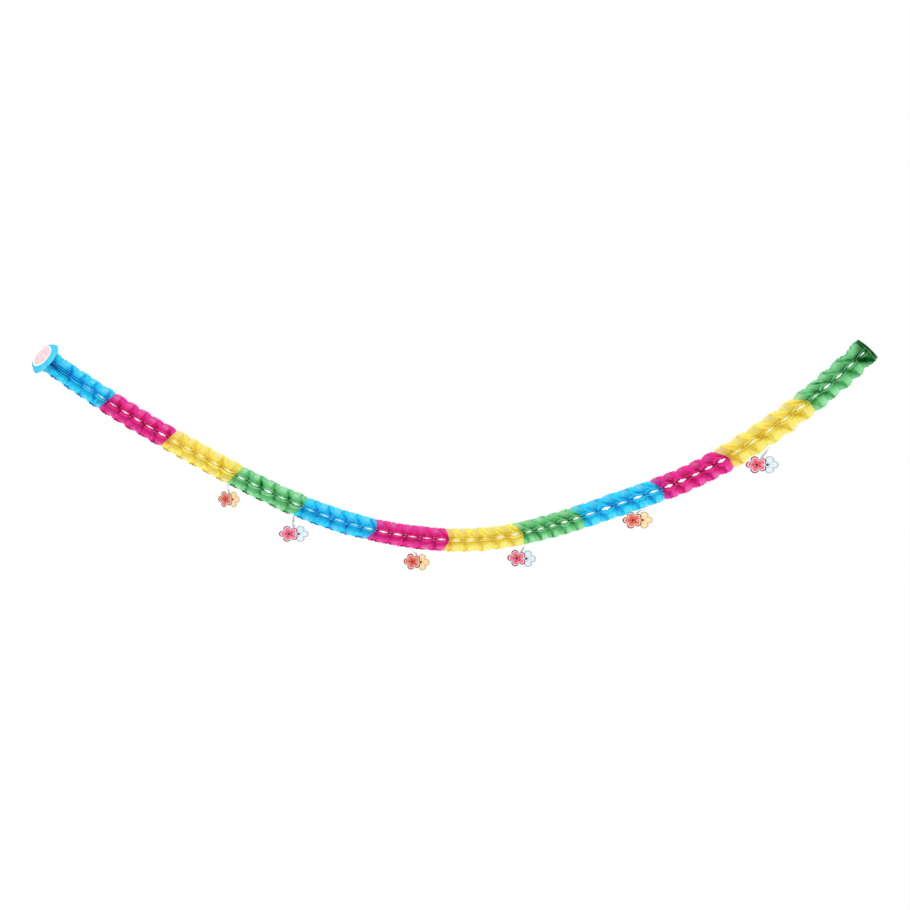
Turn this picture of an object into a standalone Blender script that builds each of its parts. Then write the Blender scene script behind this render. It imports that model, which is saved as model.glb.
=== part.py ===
"""Paper garland: a hanging tube of glued tissue sheets, two end cards and six flower cards.

The tissue is a honeycomb. Each sheet is glued to one neighbour at its four lobes and to the other
at its four valleys, so the row of sheets opens like a concertina when it is hung. A glued spot is
one shared wedge, which makes the ten sheets of a colour one closed body.
Metres, +Z up. The origin is the middle of the left card's outer face, and +X runs to the right.
"""

import math

import bmesh
import bpy
from mathutils import Matrix, Vector

# One cell of the honeycomb along the tube, and how far its lobes reach above the middle
CELL_LENGTH = 0.067
LOBE_REACH = 0.050

# The lengths of colour, from the left: colour, how far its cells are stretched, the tube's slope in
# degrees where the length starts, and how full its lobes are
LENGTHS_OF_COLOUR = (
    ("blue", 1.045, -37.0, 1.02),
    ("pink", 1.015, -31.5, 1.00),
    ("yellow", 1.060, -28.0, 1.00),
    ("green", 0.985, -27.0, 0.98),
    ("blue", 1.000, -22.0, 0.94),
    ("pink", 1.000, -12.5, 0.92),
    ("yellow", 1.015, -2.5, 0.94),
    ("green", 0.790, 13.0, 0.96),
    ("blue", 1.045, 19.0, 1.00),
    ("pink", 0.895, 20.5, 1.04),
    ("yellow", 1.165, 31.5, 1.12),
    ("green", 0.925, 39.0, 1.12),
)
END_SLOPE = 46.0
TURN_AT_LEFT_END = 46.0
TURN_LENGTH = 0.36

# Tissue: eight columns round the tube, valleys at the front, top, back and bottom, lobes between.
# The front and back valleys lie deeper than the others, in the seam where the windows are, and are
# glued over a share of the windows' height
SHEETS_IN_A_LENGTH = 10
COLUMNS = 8
SEAM_COLUMNS = (0, 4)
TISSUE_THICKNESS = 0.0009
VALLEY_RADIUS = 0.047
SEAM_VALLEY_RADIUS = 0.034
VALLEY_HALF_WIDTH = 0.009
SEAM_VALLEY_SHARE = 0.22
VALLEY_GLUE_START = 0.005
LOBE_GLUE_START = 0.010
LOBE_DEPTH = 0.046
LOBE_TOP_DEPTH = 0.029
WINDOW_HALF_HEIGHT = 0.014

# Towards the left end the lobes are glued nearer the middle, which draws the windows in to slits
TIGHT_LENGTH = 0.34
TIGHT_GLUE_START = 0.008
TIGHT_HALF_HEIGHT = 0.010

# The first sheet spreads into a round collar behind the left card, and the end cells are short
COLLAR_RADIUS = 0.074
COLLAR_LENGTH = 0.045
END_CELL_SHARE = 0.5

# Card, film and the clearance between pieces that touch
END_CARD_RADIUS = 0.055
END_CARD_SIDES = 24
CARD_THICKNESS = 0.0008
FILM_THICKNESS = 0.0005
FILM_WIDTH = 0.012
FILM_STEPS = 6
FILM_ON_TISSUE = 0.010
FILM_PAST_RIM = 0.006
FILM_ON_CARD = 0.014
FILM_ABOVE_CARD = 0.003
GAP = 0.0003

# The flower card: two five-petal flowers side by side, cut from one card
PETALS = 5
FLOWER_RADIUS = 0.036
FLOWER_NOTCH = 0.023
FLOWER_STRETCH = 1.25
FLOWER_SPACING = 0.042
PETAL_TIP_ANGLE = 9.0
PETAL_SHOULDER_ANGLE = 23.0
PETAL_SHOULDER = 0.93

# Flower cards: glue line that each hangs from, how far it swings sideways and how much of the
# hanger is free as shares of FILM_DROP, and yaw in degrees
FILM_DROP = 0.065
FLOWER_CARDS = (
    (30, -0.29, 1.03, -23.0),
    (40, -0.28, 1.23, 10.0),
    (56, 0.26, 0.94, -19.0),
    (70, 0.02, 0.91, -14.0),
    (88, -0.48, 0.91, 22.0),
    (104, 0.09, 1.06, 0.0),
)

# Colours as sRGB, and how rough each stuff is
TISSUE_COLOURS = {
    "blue": (0.10, 0.68, 0.93),
    "pink": (0.88, 0.10, 0.47),
    "yellow": (0.95, 0.84, 0.26),
    "green": (0.24, 0.68, 0.35),
}
END_CARD_COLOUR = (0.95, 0.90, 0.90)
FLOWER_COLOURS = ((0.86, 0.36, 0.28), (0.93, 0.62, 0.70))
FILM_COLOUR = (0.85, 0.86, 0.90)
TISSUE_ROUGHNESS = 0.85
CARD_ROUGHNESS = 0.55
FILM_ROUGHNESS = 0.25

HALF_PI = math.pi / 2


def linear(colour):
    """A colour of sRGB shares as Blender's linear RGBA."""
    shares = [c / 12.92 if c <= 0.04045 else ((c + 0.055) / 1.055) ** 2.4 for c in colour]
    return (*shares, 1.0)


def make_material(name, colour, roughness):
    material = bpy.data.materials.new(name)
    material.use_nodes = True
    shader = material.node_tree.nodes["Principled BSDF"]
    shader.inputs["Base Color"].default_value = linear(colour)
    shader.inputs["Roughness"].default_value = roughness
    shader.inputs["Metallic"].default_value = 0.0
    material.diffuse_color = linear(colour)
    return material


def add_object(name, bm, material):
    """Close a bmesh into a named object of one material."""
    bmesh.ops.recalc_face_normals(bm, faces=bm.faces)
    mesh = bpy.data.meshes.new(name)
    bm.to_mesh(mesh)
    bm.free()
    mesh.materials.append(material)
    item = bpy.data.objects.new(name, mesh)
    bpy.context.scene.collection.objects.link(item)
    return item


class CentreLine:
    """The middle of the tube: a slope and a turn for each place along it, summed into points."""

    STEP = 0.002

    def __init__(self):
        self.starts = [0.0]
        for _colour, stretch, _slope, _fullness in LENGTHS_OF_COLOUR:
            length = stretch * CELL_LENGTH * SHEETS_IN_A_LENGTH / 2
            self.starts.append(self.starts[-1] + length)
        self.length = self.starts[-1]
        self.slopes = [row[2] for row in LENGTHS_OF_COLOUR] + [END_SLOPE]
        self.fullness = [row[3] for row in LENGTHS_OF_COLOUR]
        self.fullness.append(self.fullness[-1])
        self.points = [Vector()]
        for step in range(math.ceil(self.length / self.STEP) + 2):
            ahead = self.ahead((step + 0.5) * self.STEP)
            self.points.append(self.points[-1] + ahead * self.STEP)

    def share(self, place):
        """The length of colour at a place, and how far along that length it is."""
        index = 0
        while index < len(LENGTHS_OF_COLOUR) - 1 and place >= self.starts[index + 1]:
            index += 1
        start, end = self.starts[index : index + 2]
        return index, (place - start) / (end - start)

    def ahead(self, place):
        index, along = self.share(place)
        slope = math.radians(self.slopes[index] * (1 - along) + self.slopes[index + 1] * along)
        turn = math.radians(TURN_AT_LEFT_END) * max(0.0, 1 - place / TURN_LENGTH) ** 2
        level = math.cos(slope)
        return Vector((level * math.cos(turn), level * math.sin(turn), math.sin(slope)))

    def frame(self, place):
        """The point at a place, and the ways ahead, to the front and up there."""
        steps = place / self.STEP
        index = min(max(int(steps), 0), len(self.points) - 2)
        point = self.points[index].lerp(self.points[index + 1], steps - index)
        ahead = self.ahead(place)
        front = Vector((ahead.y, -ahead.x, 0.0)).normalized()
        return point, ahead, front, front.cross(ahead)

    def reach(self, place):
        """How far the lobes reach above the middle, eased from one length of colour to the next."""
        index, along = self.share(place)
        return LOBE_REACH * (self.fullness[index] * (1 - along) + self.fullness[index + 1] * along)


def is_valley(column):
    return column % 2 == 0


def glue_planes(line):
    """Places of the planes where sheets meet: even planes are glued in valleys, odd on lobes."""
    first = CARD_THICKNESS + GAP
    last = line.length - CARD_THICKNESS - GAP
    planes = []
    for start, end in zip(line.starts, line.starts[1:]):
        spacing = (end - start) / SHEETS_IN_A_LENGTH
        planes += [start + step * spacing for step in range(SHEETS_IN_A_LENGTH)]
    planes.append(last)
    planes[0] = first
    planes[1] = first + (planes[1] - first) * END_CELL_SHARE
    planes[-2] = last - (last - planes[-2]) * END_CELL_SHARE
    return planes


def column_corners(line, place, column, shift):
    """The three corners of a column's wedge: near the middle, and both ends of its outer edge.

    The wedge has the shape that belongs to its place, and is moved by the shift.
    """
    point, _ahead, front, up = line.frame(place)
    point = point + shift
    angle = column * math.tau / COLUMNS
    outward = front * math.cos(angle) + up * math.sin(angle)
    sideways = up * math.cos(angle) - front * math.sin(angle)
    tight = max(0.0, 1 - place / TIGHT_LENGTH)
    beside_window = WINDOW_HALF_HEIGHT + (TIGHT_HALF_HEIGHT - WINDOW_HALF_HEIGHT) * tight
    if is_valley(column):
        start = VALLEY_GLUE_START
        in_seam = column in SEAM_COLUMNS
        radius = SEAM_VALLEY_RADIUS if in_seam else VALLEY_RADIUS
        half_width = beside_window * SEAM_VALLEY_SHARE if in_seam else VALLEY_HALF_WIDTH
        near = outward * radius - sideways * half_width
        far = outward * radius + sideways * half_width
    else:
        start = LOBE_GLUE_START + (TIGHT_GLUE_START - LOBE_GLUE_START) * tight
        toward_front = front * math.copysign(1, math.cos(angle))
        toward_top = up * math.copysign(1, math.sin(angle))
        near = toward_front * LOBE_DEPTH + toward_top * beside_window
        far = toward_front * LOBE_TOP_DEPTH + toward_top * line.reach(place)
        if math.cos(angle) * math.sin(angle) < 0:
            near, far = far, near
    collar = max(0.0, 1 - place / COLLAR_LENGTH) ** 2
    near, far = (side * (1 + (COLLAR_RADIUS / side.length - 1) * collar) for side in (near, far))
    return point + outward * start, point + near, point + far


def build_tissue_length(line, planes, index, name, material):
    """Ten sheets of one colour, glued in turn at the valleys and at the lobes, as one body."""
    first_sheet = index * SHEETS_IN_A_LENGTH
    last_sheet = first_sheet + SHEETS_IN_A_LENGTH - 1
    bm = bmesh.new()
    wedges = {}

    def wedge(plane, level, column):
        """Corners on a glue plane, or a tissue's thickness before or after it."""
        key = (plane, level, column)
        if key not in wedges:
            shift = sheet_ahead * level * TISSUE_THICKNESS
            if plane == first_sheet and index > 0:
                shift += line.ahead(planes[plane]) * GAP / 2
            if plane == last_sheet + 1 and plane < len(planes) - 1:
                shift -= line.ahead(planes[plane]) * GAP / 2
            corners = column_corners(line, planes[plane], column, shift)
            wedges[key] = [bm.verts.new(corner) for corner in corners]
        return wedges[key]

    for sheet in range(first_sheet, last_sheet + 1):
        middle = (planes[sheet] + planes[sheet + 1]) / 2
        sheet_ahead = line.ahead(middle)
        sides = []
        for side in (-1, 1):
            hub = bm.verts.new(line.frame(middle + side * TISSUE_THICKNESS / 2)[0])
            corners = []
            for column in range(COLUMNS):
                glued_ahead = is_valley(column) == ((sheet + 1) % 2 == 0)
                plane = sheet + 1 if glued_ahead else sheet
                outer_side = 1 if glued_ahead else -1
                level = 0 if side == outer_side else -outer_side
                corners.append((wedge(plane, level, column), level, plane))
            sides.append((hub, corners))
        for hub, corners in sides:
            for column, ((start, near, far), level, plane) in enumerate(corners):
                next_start, next_near, _next_far = corners[(column + 1) % COLUMNS][0]
                bm.faces.new((hub, start, next_start))
                if is_valley(column):
                    bm.faces.new((start, far, next_near))
                    bm.faces.new((start, next_near, next_start))
                else:
                    bm.faces.new((start, far, next_start))
                    bm.faces.new((far, next_near, next_start))
                shared = level == 0 and first_sheet < plane <= last_sheet
                if not shared:
                    bm.faces.new((start, near, far))
        lower, upper = (corners for _hub, corners in sides)
        for column in range(COLUMNS):
            _start, low_near, low_far = lower[column][0]
            _start, high_near, high_far = upper[column][0]
            low_next = lower[(column + 1) % COLUMNS][0][1]
            high_next = upper[(column + 1) % COLUMNS][0][1]
            bm.faces.new((low_near, low_far, high_far, high_near))
            bm.faces.new((low_far, low_next, high_next, high_far))
    bmesh.ops.triangulate(bm, faces=[f for f in bm.faces if len(f.verts) > 3])
    return add_object(name, bm, material)


def build_end_card(line, name, material, at_start):
    """A round card across the tube's end, its outer face on the very end of the tube."""
    place = 0.0 if at_start else line.length
    point, ahead, _front, _up = line.frame(place)
    inward = ahead if at_start else -ahead
    bm = bmesh.new()
    bmesh.ops.create_cone(
        bm,
        cap_ends=True,
        segments=END_CARD_SIDES,
        radius1=END_CARD_RADIUS,
        radius2=END_CARD_RADIUS,
        depth=CARD_THICKNESS,
    )
    card = add_object(name, bm, material)
    card.location = point + inward * CARD_THICKNESS / 2
    card.rotation_euler = ahead.to_track_quat("Z", "Y").to_euler()
    return card


def petal_outline():
    """The outline of one flower, as angle and radius, with five points to a petal."""
    outline = []
    for petal in range(PETALS):
        middle = math.pi + petal * math.tau / PETALS
        outline.append((middle - math.pi / PETALS, FLOWER_NOTCH))
        for degrees, share in (
            (-PETAL_SHOULDER_ANGLE, PETAL_SHOULDER),
            (-PETAL_TIP_ANGLE, 1.0),
            (PETAL_TIP_ANGLE, 1.0),
            (PETAL_SHOULDER_ANGLE, PETAL_SHOULDER),
        ):
            outline.append((middle + math.radians(degrees), FLOWER_RADIUS * share))
    return outline


def build_flower_card(name, centre, yaw, material):
    """Two flowers side by side cut from one card, a flower and its mirror image.

    Gives back how high the card reaches between the two.
    """
    bm = bmesh.new()
    outline = []
    for angle, radius in petal_outline():
        across = radius * math.cos(angle) * FLOWER_STRETCH - FLOWER_SPACING / 2
        outline.append(bm.verts.new((across, 0.0, radius * math.sin(angle))))
    bm.faces.new(outline)
    everything = bm.verts[:] + bm.edges[:] + bm.faces[:]
    bmesh.ops.bisect_plane(
        bm, geom=everything, plane_co=(0, 0, 0), plane_no=(1, 0, 0), clear_outer=True
    )
    between = max(vert.co.z for vert in bm.verts if abs(vert.co.x) < GAP)
    everything = bm.verts[:] + bm.edges[:] + bm.faces[:]
    bmesh.ops.mirror(bm, geom=everything, matrix=Matrix.Identity(4), merge_dist=GAP / 10, axis="X")
    bmesh.ops.dissolve_faces(bm, faces=bm.faces[:])
    bmesh.ops.recalc_face_normals(bm, faces=bm.faces)
    pushed = bmesh.ops.extrude_face_region(bm, geom=bm.faces[:])["geom"]
    for item in pushed:
        if isinstance(item, bmesh.types.BMVert):
            item.co.y += CARD_THICKNESS
    card = add_object(name, bm, material)
    card.location = centre
    card.rotation_euler.z = yaw
    return between


def film_sections(line, planes, plane, card_top, yaw):
    """Middle, way across and way through of each section of a hanger, from the glue to the card."""
    face = planes[plane] + TISSUE_THICKNESS + GAP + FILM_THICKNESS / 2
    if plane % SHEETS_IN_A_LENGTH == 0:
        face += GAP / 2
    point, ahead, front, up = line.frame(face)
    top = point - up * (VALLEY_RADIUS - FILM_ON_TISSUE)
    rim = point - up * (VALLEY_RADIUS + FILM_PAST_RIM)
    sections = [(top, front, ahead), (rim, front, ahead)]
    turn = yaw + HALF_PI if yaw < 0 else yaw - HALF_PI
    steep = (rim - card_top).length / 2
    for step in range(1, FILM_STEPS):
        along = min(step / (FILM_STEPS - 2), 1.0)
        eased = along * along * (3 - 2 * along)
        start_bend = rim - up * steep * along
        end_bend = card_top + Vector((0, 0, steep)) * (1 - along)
        middle = start_bend.lerp(end_bend, eased)
        if step == FILM_STEPS - 1:
            middle = card_top - Vector((0, 0, FILM_ABOVE_CARD + FILM_ON_CARD))
        across = Matrix.Rotation(turn * eased, 3, "Z") @ front
        through = Matrix.Rotation(turn * eased, 3, "Z") @ ahead.lerp(
            Vector((ahead.x, ahead.y, 0.0)).normalized(), eased
        )
        sections.append((middle, across, through.normalized()))
    return sections


def build_film(name, sections, material):
    """A flat strip of film through its sections."""
    bm = bmesh.new()
    rings = []
    for middle, across, through in sections:
        side = across * FILM_WIDTH / 2
        face = through * FILM_THICKNESS / 2
        corners = (middle - side - face, middle + side - face, middle + side + face)
        corners += (middle - side + face,)
        rings.append([bm.verts.new(corner) for corner in corners])
    for ring, following in zip(rings, rings[1:]):
        for index in range(4):
            after = (index + 1) % 4
            bm.faces.new((ring[index], ring[after], following[after], following[index]))
    bm.faces.new(rings[0])
    bm.faces.new(rings[-1])
    bmesh.ops.triangulate(bm, faces=bm.faces[:])
    return add_object(name, bm, material)


def hang_flower_card(line, planes, number, film, card_material):
    """One hanger strip and the flower card that it carries."""
    plane, swing, free_share, yaw_degrees = FLOWER_CARDS[number]
    yaw = math.radians(yaw_degrees)
    root = line.frame(planes[plane])[0]
    toward_card = Matrix.Rotation(yaw, 3, "Z") @ Vector((0, -1, 0))
    drop = VALLEY_RADIUS + FILM_DROP * free_share
    back_of_card = root + Vector((FILM_DROP * swing, 0, -drop))
    card_front = back_of_card + toward_card * CARD_THICKNESS
    card_name = f"flower_card_{number + 1}"
    between = build_flower_card(card_name, card_front, yaw, card_material)
    behind = toward_card * (GAP + FILM_THICKNESS / 2)
    card_top = back_of_card + Vector((0, 0, between + FILM_ABOVE_CARD)) - behind
    sections = film_sections(line, planes, plane, card_top, yaw)
    build_film(f"hanger_strip_{number + 1}", sections, film)


def build():
    for item in list(bpy.data.objects):
        bpy.data.objects.remove(item)
    line = CentreLine()
    planes = glue_planes(line)
    tissues = {
        colour: make_material(f"{colour}_tissue", shade, TISSUE_ROUGHNESS)
        for colour, shade in TISSUE_COLOURS.items()
    }
    counts = dict.fromkeys(tissues, 0)
    for index, (colour, _stretch, _slope, _fullness) in enumerate(LENGTHS_OF_COLOUR):
        counts[colour] += 1
        name = f"{colour}_tissue_{counts[colour]}"
        build_tissue_length(line, planes, index, name, tissues[colour])
    end_card = make_material("end_card", END_CARD_COLOUR, CARD_ROUGHNESS)
    build_end_card(line, "left_end_card", end_card, True)
    build_end_card(line, "right_end_card", end_card, False)
    film = make_material("clear_film", FILM_COLOUR, FILM_ROUGHNESS)
    cards = [make_material("flower_card", shade, CARD_ROUGHNESS) for shade in FLOWER_COLOURS]
    for number in range(len(FLOWER_CARDS)):
        hang_flower_card(line, planes, number, film, cards[number % len(cards)])


build()
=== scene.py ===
"""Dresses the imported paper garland: tissue, end cards, flower cards, hanger strips and the stage.

The tissue is modelled again as thin sheets, one die-cut sheet at a time, on the same centre line
and glue planes as the solids. Metres, +Z up, +X along the span, -Y towards the viewer.
"""

import math
import random

import bmesh
import bpy
from bpy.props import FloatProperty, FloatVectorProperty, IntProperty, PointerProperty
from mathutils import Matrix, Vector, noise


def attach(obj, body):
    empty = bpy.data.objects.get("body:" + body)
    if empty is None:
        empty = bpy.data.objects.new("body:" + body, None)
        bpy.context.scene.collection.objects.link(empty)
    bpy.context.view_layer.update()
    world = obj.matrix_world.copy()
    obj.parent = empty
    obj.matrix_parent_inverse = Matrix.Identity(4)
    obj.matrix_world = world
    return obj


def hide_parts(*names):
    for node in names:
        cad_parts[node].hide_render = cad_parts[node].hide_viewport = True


bl_info = {
    "name": "Paper garland",
    "version": (1, 0, 0),
    "blender": (4, 5, 0),
    "location": "View3D > Sidebar > Garland",
    "description": "Tissue, cards and film of a hanging honeycomb paper garland",
    "category": "Object",
}

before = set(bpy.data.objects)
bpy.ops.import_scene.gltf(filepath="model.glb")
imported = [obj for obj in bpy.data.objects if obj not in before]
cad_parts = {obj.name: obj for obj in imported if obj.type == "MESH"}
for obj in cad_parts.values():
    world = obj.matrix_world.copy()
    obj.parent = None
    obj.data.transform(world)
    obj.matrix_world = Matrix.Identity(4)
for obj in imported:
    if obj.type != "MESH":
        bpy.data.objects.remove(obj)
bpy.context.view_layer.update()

# Lengths of colour from the left: colour, stretch of the cells, slope in degrees, fullness
LENGTHS_OF_COLOUR = (
    ("blue", 1.045, -37.0, 1.02),
    ("pink", 1.015, -31.5, 1.00),
    ("yellow", 1.060, -28.0, 1.00),
    ("green", 0.985, -27.0, 0.98),
    ("blue", 1.000, -22.0, 0.94),
    ("pink", 1.000, -12.5, 0.92),
    ("yellow", 1.015, -2.5, 0.94),
    ("green", 0.790, 13.0, 0.96),
    ("blue", 1.045, 19.0, 1.00),
    ("pink", 0.895, 20.5, 1.04),
    ("yellow", 1.165, 31.5, 1.12),
    ("green", 0.925, 39.0, 1.12),
)
END_SLOPE = 46.0
TURN_AT_LEFT_END = 46.0
TURN_LENGTH = 0.36
# The left card and the sheets close behind it lean round to the front, in degrees and metres
FACED = 16.0
FACED_LENGTH = 0.08
# Where the camera stands in the room, and the tissue is combed towards it
SEEN_FROM = Vector((2.872, -5.006, -0.447))
CELL_LENGTH = 0.067
SHEETS_IN_A_LENGTH = 10
COLUMNS = 8
END_CELL_SHARE = 0.5
CARD_THICKNESS = 0.0008
GAP = 0.0003
SAME_SPOT = 0.00003

# Flower cards, left to right: the glue plane each hangs from, sideways swing and drop below the
# tube's middle in metres, and yaw in degrees
FLOWER_CARDS = (
    (30, -0.01885, 0.11395, -23.0),
    (40, -0.0182, 0.12695, 10.0),
    (56, 0.0169, 0.1081, -19.0),
    (70, 0.0013, 0.10615, -14.0),
    (88, -0.0312, 0.10615, 22.0),
    (104, 0.00585, 0.1159, 0.0),
)


def linear(hex_colour):
    """An sRGB hex colour as linear RGBA."""
    shares = [int(hex_colour[i : i + 2], 16) / 255 for i in (1, 3, 5)]
    shares = [c / 12.92 if c <= 0.04045 else ((c + 0.055) / 1.055) ** 2.4 for c in shares]
    return (*shares, 1.0)


def colour_property(name, description, hex_colour):
    return FloatVectorProperty(
        name=name,
        description=description,
        subtype="COLOR",
        size=4,
        min=0.0,
        max=1.0,
        default=linear(hex_colour),
    )


def length_property(name, description, default):
    return FloatProperty(name=name, description=description, default=default, unit="LENGTH")


class TissueSettings(bpy.types.PropertyGroup):
    lobe_reach: length_property("Lobe reach", "How far the lobes reach above the middle", 0.050)
    lobe_depth: length_property("Lobe depth", "How far the lobes stand out beside a window", 0.046)
    lobe_top_depth: length_property("Lobe top depth", "Depth of the lobes' outer corners", 0.029)
    valley_radius: length_property("Valley radius", "Reach of the top and bottom valleys", 0.047)
    seam_radius: length_property("Seam radius", "Reach of the front and back valleys", 0.034)
    window_half_height: length_property("Window half height", "Half the front opening", 0.0145)
    tight_half_height: length_property("Slit half height", "Half the opening at the left", 0.0036)
    tight_length: length_property("Slit length", "How far the slits go from the left end", 0.34)
    collar_radius: length_property("Collar radius", "Tissue behind the left card", 0.077)
    inner_collar: length_property("Inner collar", "The open sheets within the collar", 0.066)
    end_tuck: length_property("End tuck", "How much smaller the collar is at the card", 0.018)
    collar_length: length_property("Collar length", "How far back the collar goes", 0.042)
    deckle_depth: length_property("Deckle depth", "Depth of the die-cut teeth", 0.0035)
    crinkle: length_property("Crinkle", "How far the tissue wanders off its shape", 0.0016)
    spokes: IntProperty(name="Spokes", description="Mesh spokes of a sheet", default=160, min=32)
    rings: IntProperty(name="Rings", description="Mesh rings of a sheet", default=12, min=4)
    # The pale colours are painted light, for tissue lit through where one layer stands free, and
    # the deep ones are painted shade
    blue: colour_property("Blue", "Blue tissue", "#44E8FF")
    blue_pale: colour_property("Pale blue", "Single layer of blue tissue", "#92E9FF")
    blue_deep: colour_property("Deep blue", "Blue tissue in its own shade", "#1486D8")
    pink: colour_property("Pink", "Pink tissue", "#F84AB8")
    pink_pale: colour_property("Pale pink", "Single layer of pink tissue", "#EE88BE")
    pink_deep: colour_property("Deep pink", "Pink tissue in its own shade", "#B40C54")
    yellow: colour_property("Yellow", "Yellow tissue", "#FFF68A")
    yellow_pale: colour_property("Pale yellow", "Single layer of yellow tissue", "#F6EBB4")
    yellow_deep: colour_property("Deep yellow", "Yellow tissue in its own shade", "#E6C62C")
    green: colour_property("Green", "Green tissue", "#97E8AC")
    green_pale: colour_property("Pale green", "Single layer of green tissue", "#CDF2D2")
    green_deep: colour_property("Deep green", "Green tissue in its own shade", "#157A34")


class CardSettings(bpy.types.PropertyGroup):
    end_radius: length_property("End card radius", "Radius of the round end cards", 0.055)
    rim: length_property("Card rim", "Rounding of a card's cut edge", 0.0002)
    petal_reach: length_property("Petal reach", "Reach of a flower's petals", 0.036)
    petal_notch: length_property("Petal notch", "Radius of the notches between petals", 0.023)
    stretch: FloatProperty(name="Stretch", description="A flower's width over height", default=1.25)
    spacing: length_property("Flower spacing", "Distance between the two flowers", 0.042)
    print_pink: colour_property("End print pink", "Pastel pink on the end card", "#F0BECB")
    print_green: colour_property("End print green", "Pastel green on the end card", "#B6CEC0")
    board: colour_property("Board", "Uncoated back and cut edges of the card", "#F1EFEA")
    grey_board: colour_property("Grey board", "Right end card", "#B9B2A4")


class StageSettings(bpy.types.PropertyGroup):
    floor_height: length_property("Floor height", "Height of the floor in the frame", -2.75)
    key_strength: FloatProperty(name="Key light", description="Sun strength", default=1.25)
    fill_strength: FloatProperty(name="Fill light", description="World strength", default=0.8)
    floor: colour_property("Floor", "Pale studio floor", "#FFFFFF")


def node(tree, kind, settings=None, links=None):
    """Add a node, set its properties, and link or set its inputs."""
    made = tree.nodes.new(kind)
    for name, value in (settings or {}).items():
        setattr(made, name, value)
    for name, value in (links or {}).items():
        if isinstance(value, bpy.types.NodeSocket):
            tree.links.new(value, made.inputs[name])
        else:
            made.inputs[name].default_value = value
    return made


def maths(tree, operation, *values, clamp=False):
    """What a math node makes of values and sockets."""
    settings = {"operation": operation, "use_clamp": clamp}
    return node(tree, "ShaderNodeMath", settings, dict(enumerate(values))).outputs["Value"]


def vector_maths(tree, operation, *values):
    """A vector math node on values and sockets."""
    return node(tree, "ShaderNodeVectorMath", {"operation": operation}, dict(enumerate(values)))


def noise_share(tree, place, scale, detail, kind="FBM", roughness=0.5):
    """The share from a noise texture, its scale being how many clouds go in a unit of the place."""
    links = {"Vector": place, "Scale": scale, "Detail": detail, "Roughness": roughness}
    return node(tree, "ShaderNodeTexNoise", {"noise_type": kind}, links).outputs["Fac"]


def mix_shaders(tree, share, first, second):
    """The first shader where the share is 0, the second where it is 1."""
    links = {0: share, 1: first.outputs[0], 2: second.outputs[0]}
    return node(tree, "ShaderNodeMixShader", links=links).outputs["Shader"]


def new_material(name):
    """An empty material, its tree and the surface input of its output node."""
    material = bpy.data.materials.new(name)
    material.use_nodes = True
    tree = material.node_tree
    tree.nodes.clear()
    return material, tree, node(tree, "ShaderNodeOutputMaterial").inputs["Surface"]


def darkened(colour, share):
    """A share of a colour's light, opaque."""
    return (*(share * channel for channel in colour[:3]), 1.0)


def ramp(tree, share, stops):
    """A linear colour ramp over a share, from (place, linear colour) stops in order."""
    made = node(tree, "ShaderNodeValToRGB", links={"Fac": share})
    elements = made.color_ramp.elements
    while len(elements) < len(stops):
        elements.new(0.5)
    for element, (place, colour) in zip(elements, stops):
        element.position = place
        element.color = colour
    return made.outputs["Color"]


# How far a hand-hung sheet is off its even place: metres along, radians of twist, share of
# fullness and share of the windows' height
WANDER_SEED = 11
WANDER_EASE = 4
WANDER_SPREADS = (0.0016, 0.035, 0.022, 0.22)


def eased(share):
    """A share that starts and stops softly, held between 0 and 1."""
    share = min(max(share, 0.0), 1.0)
    return share * share * (3 - 2 * share)


def risen(value, start, width):
    """An eased share: 0 up to the start, 1 from the end of the width on."""
    return eased((value - start) / width)


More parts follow.
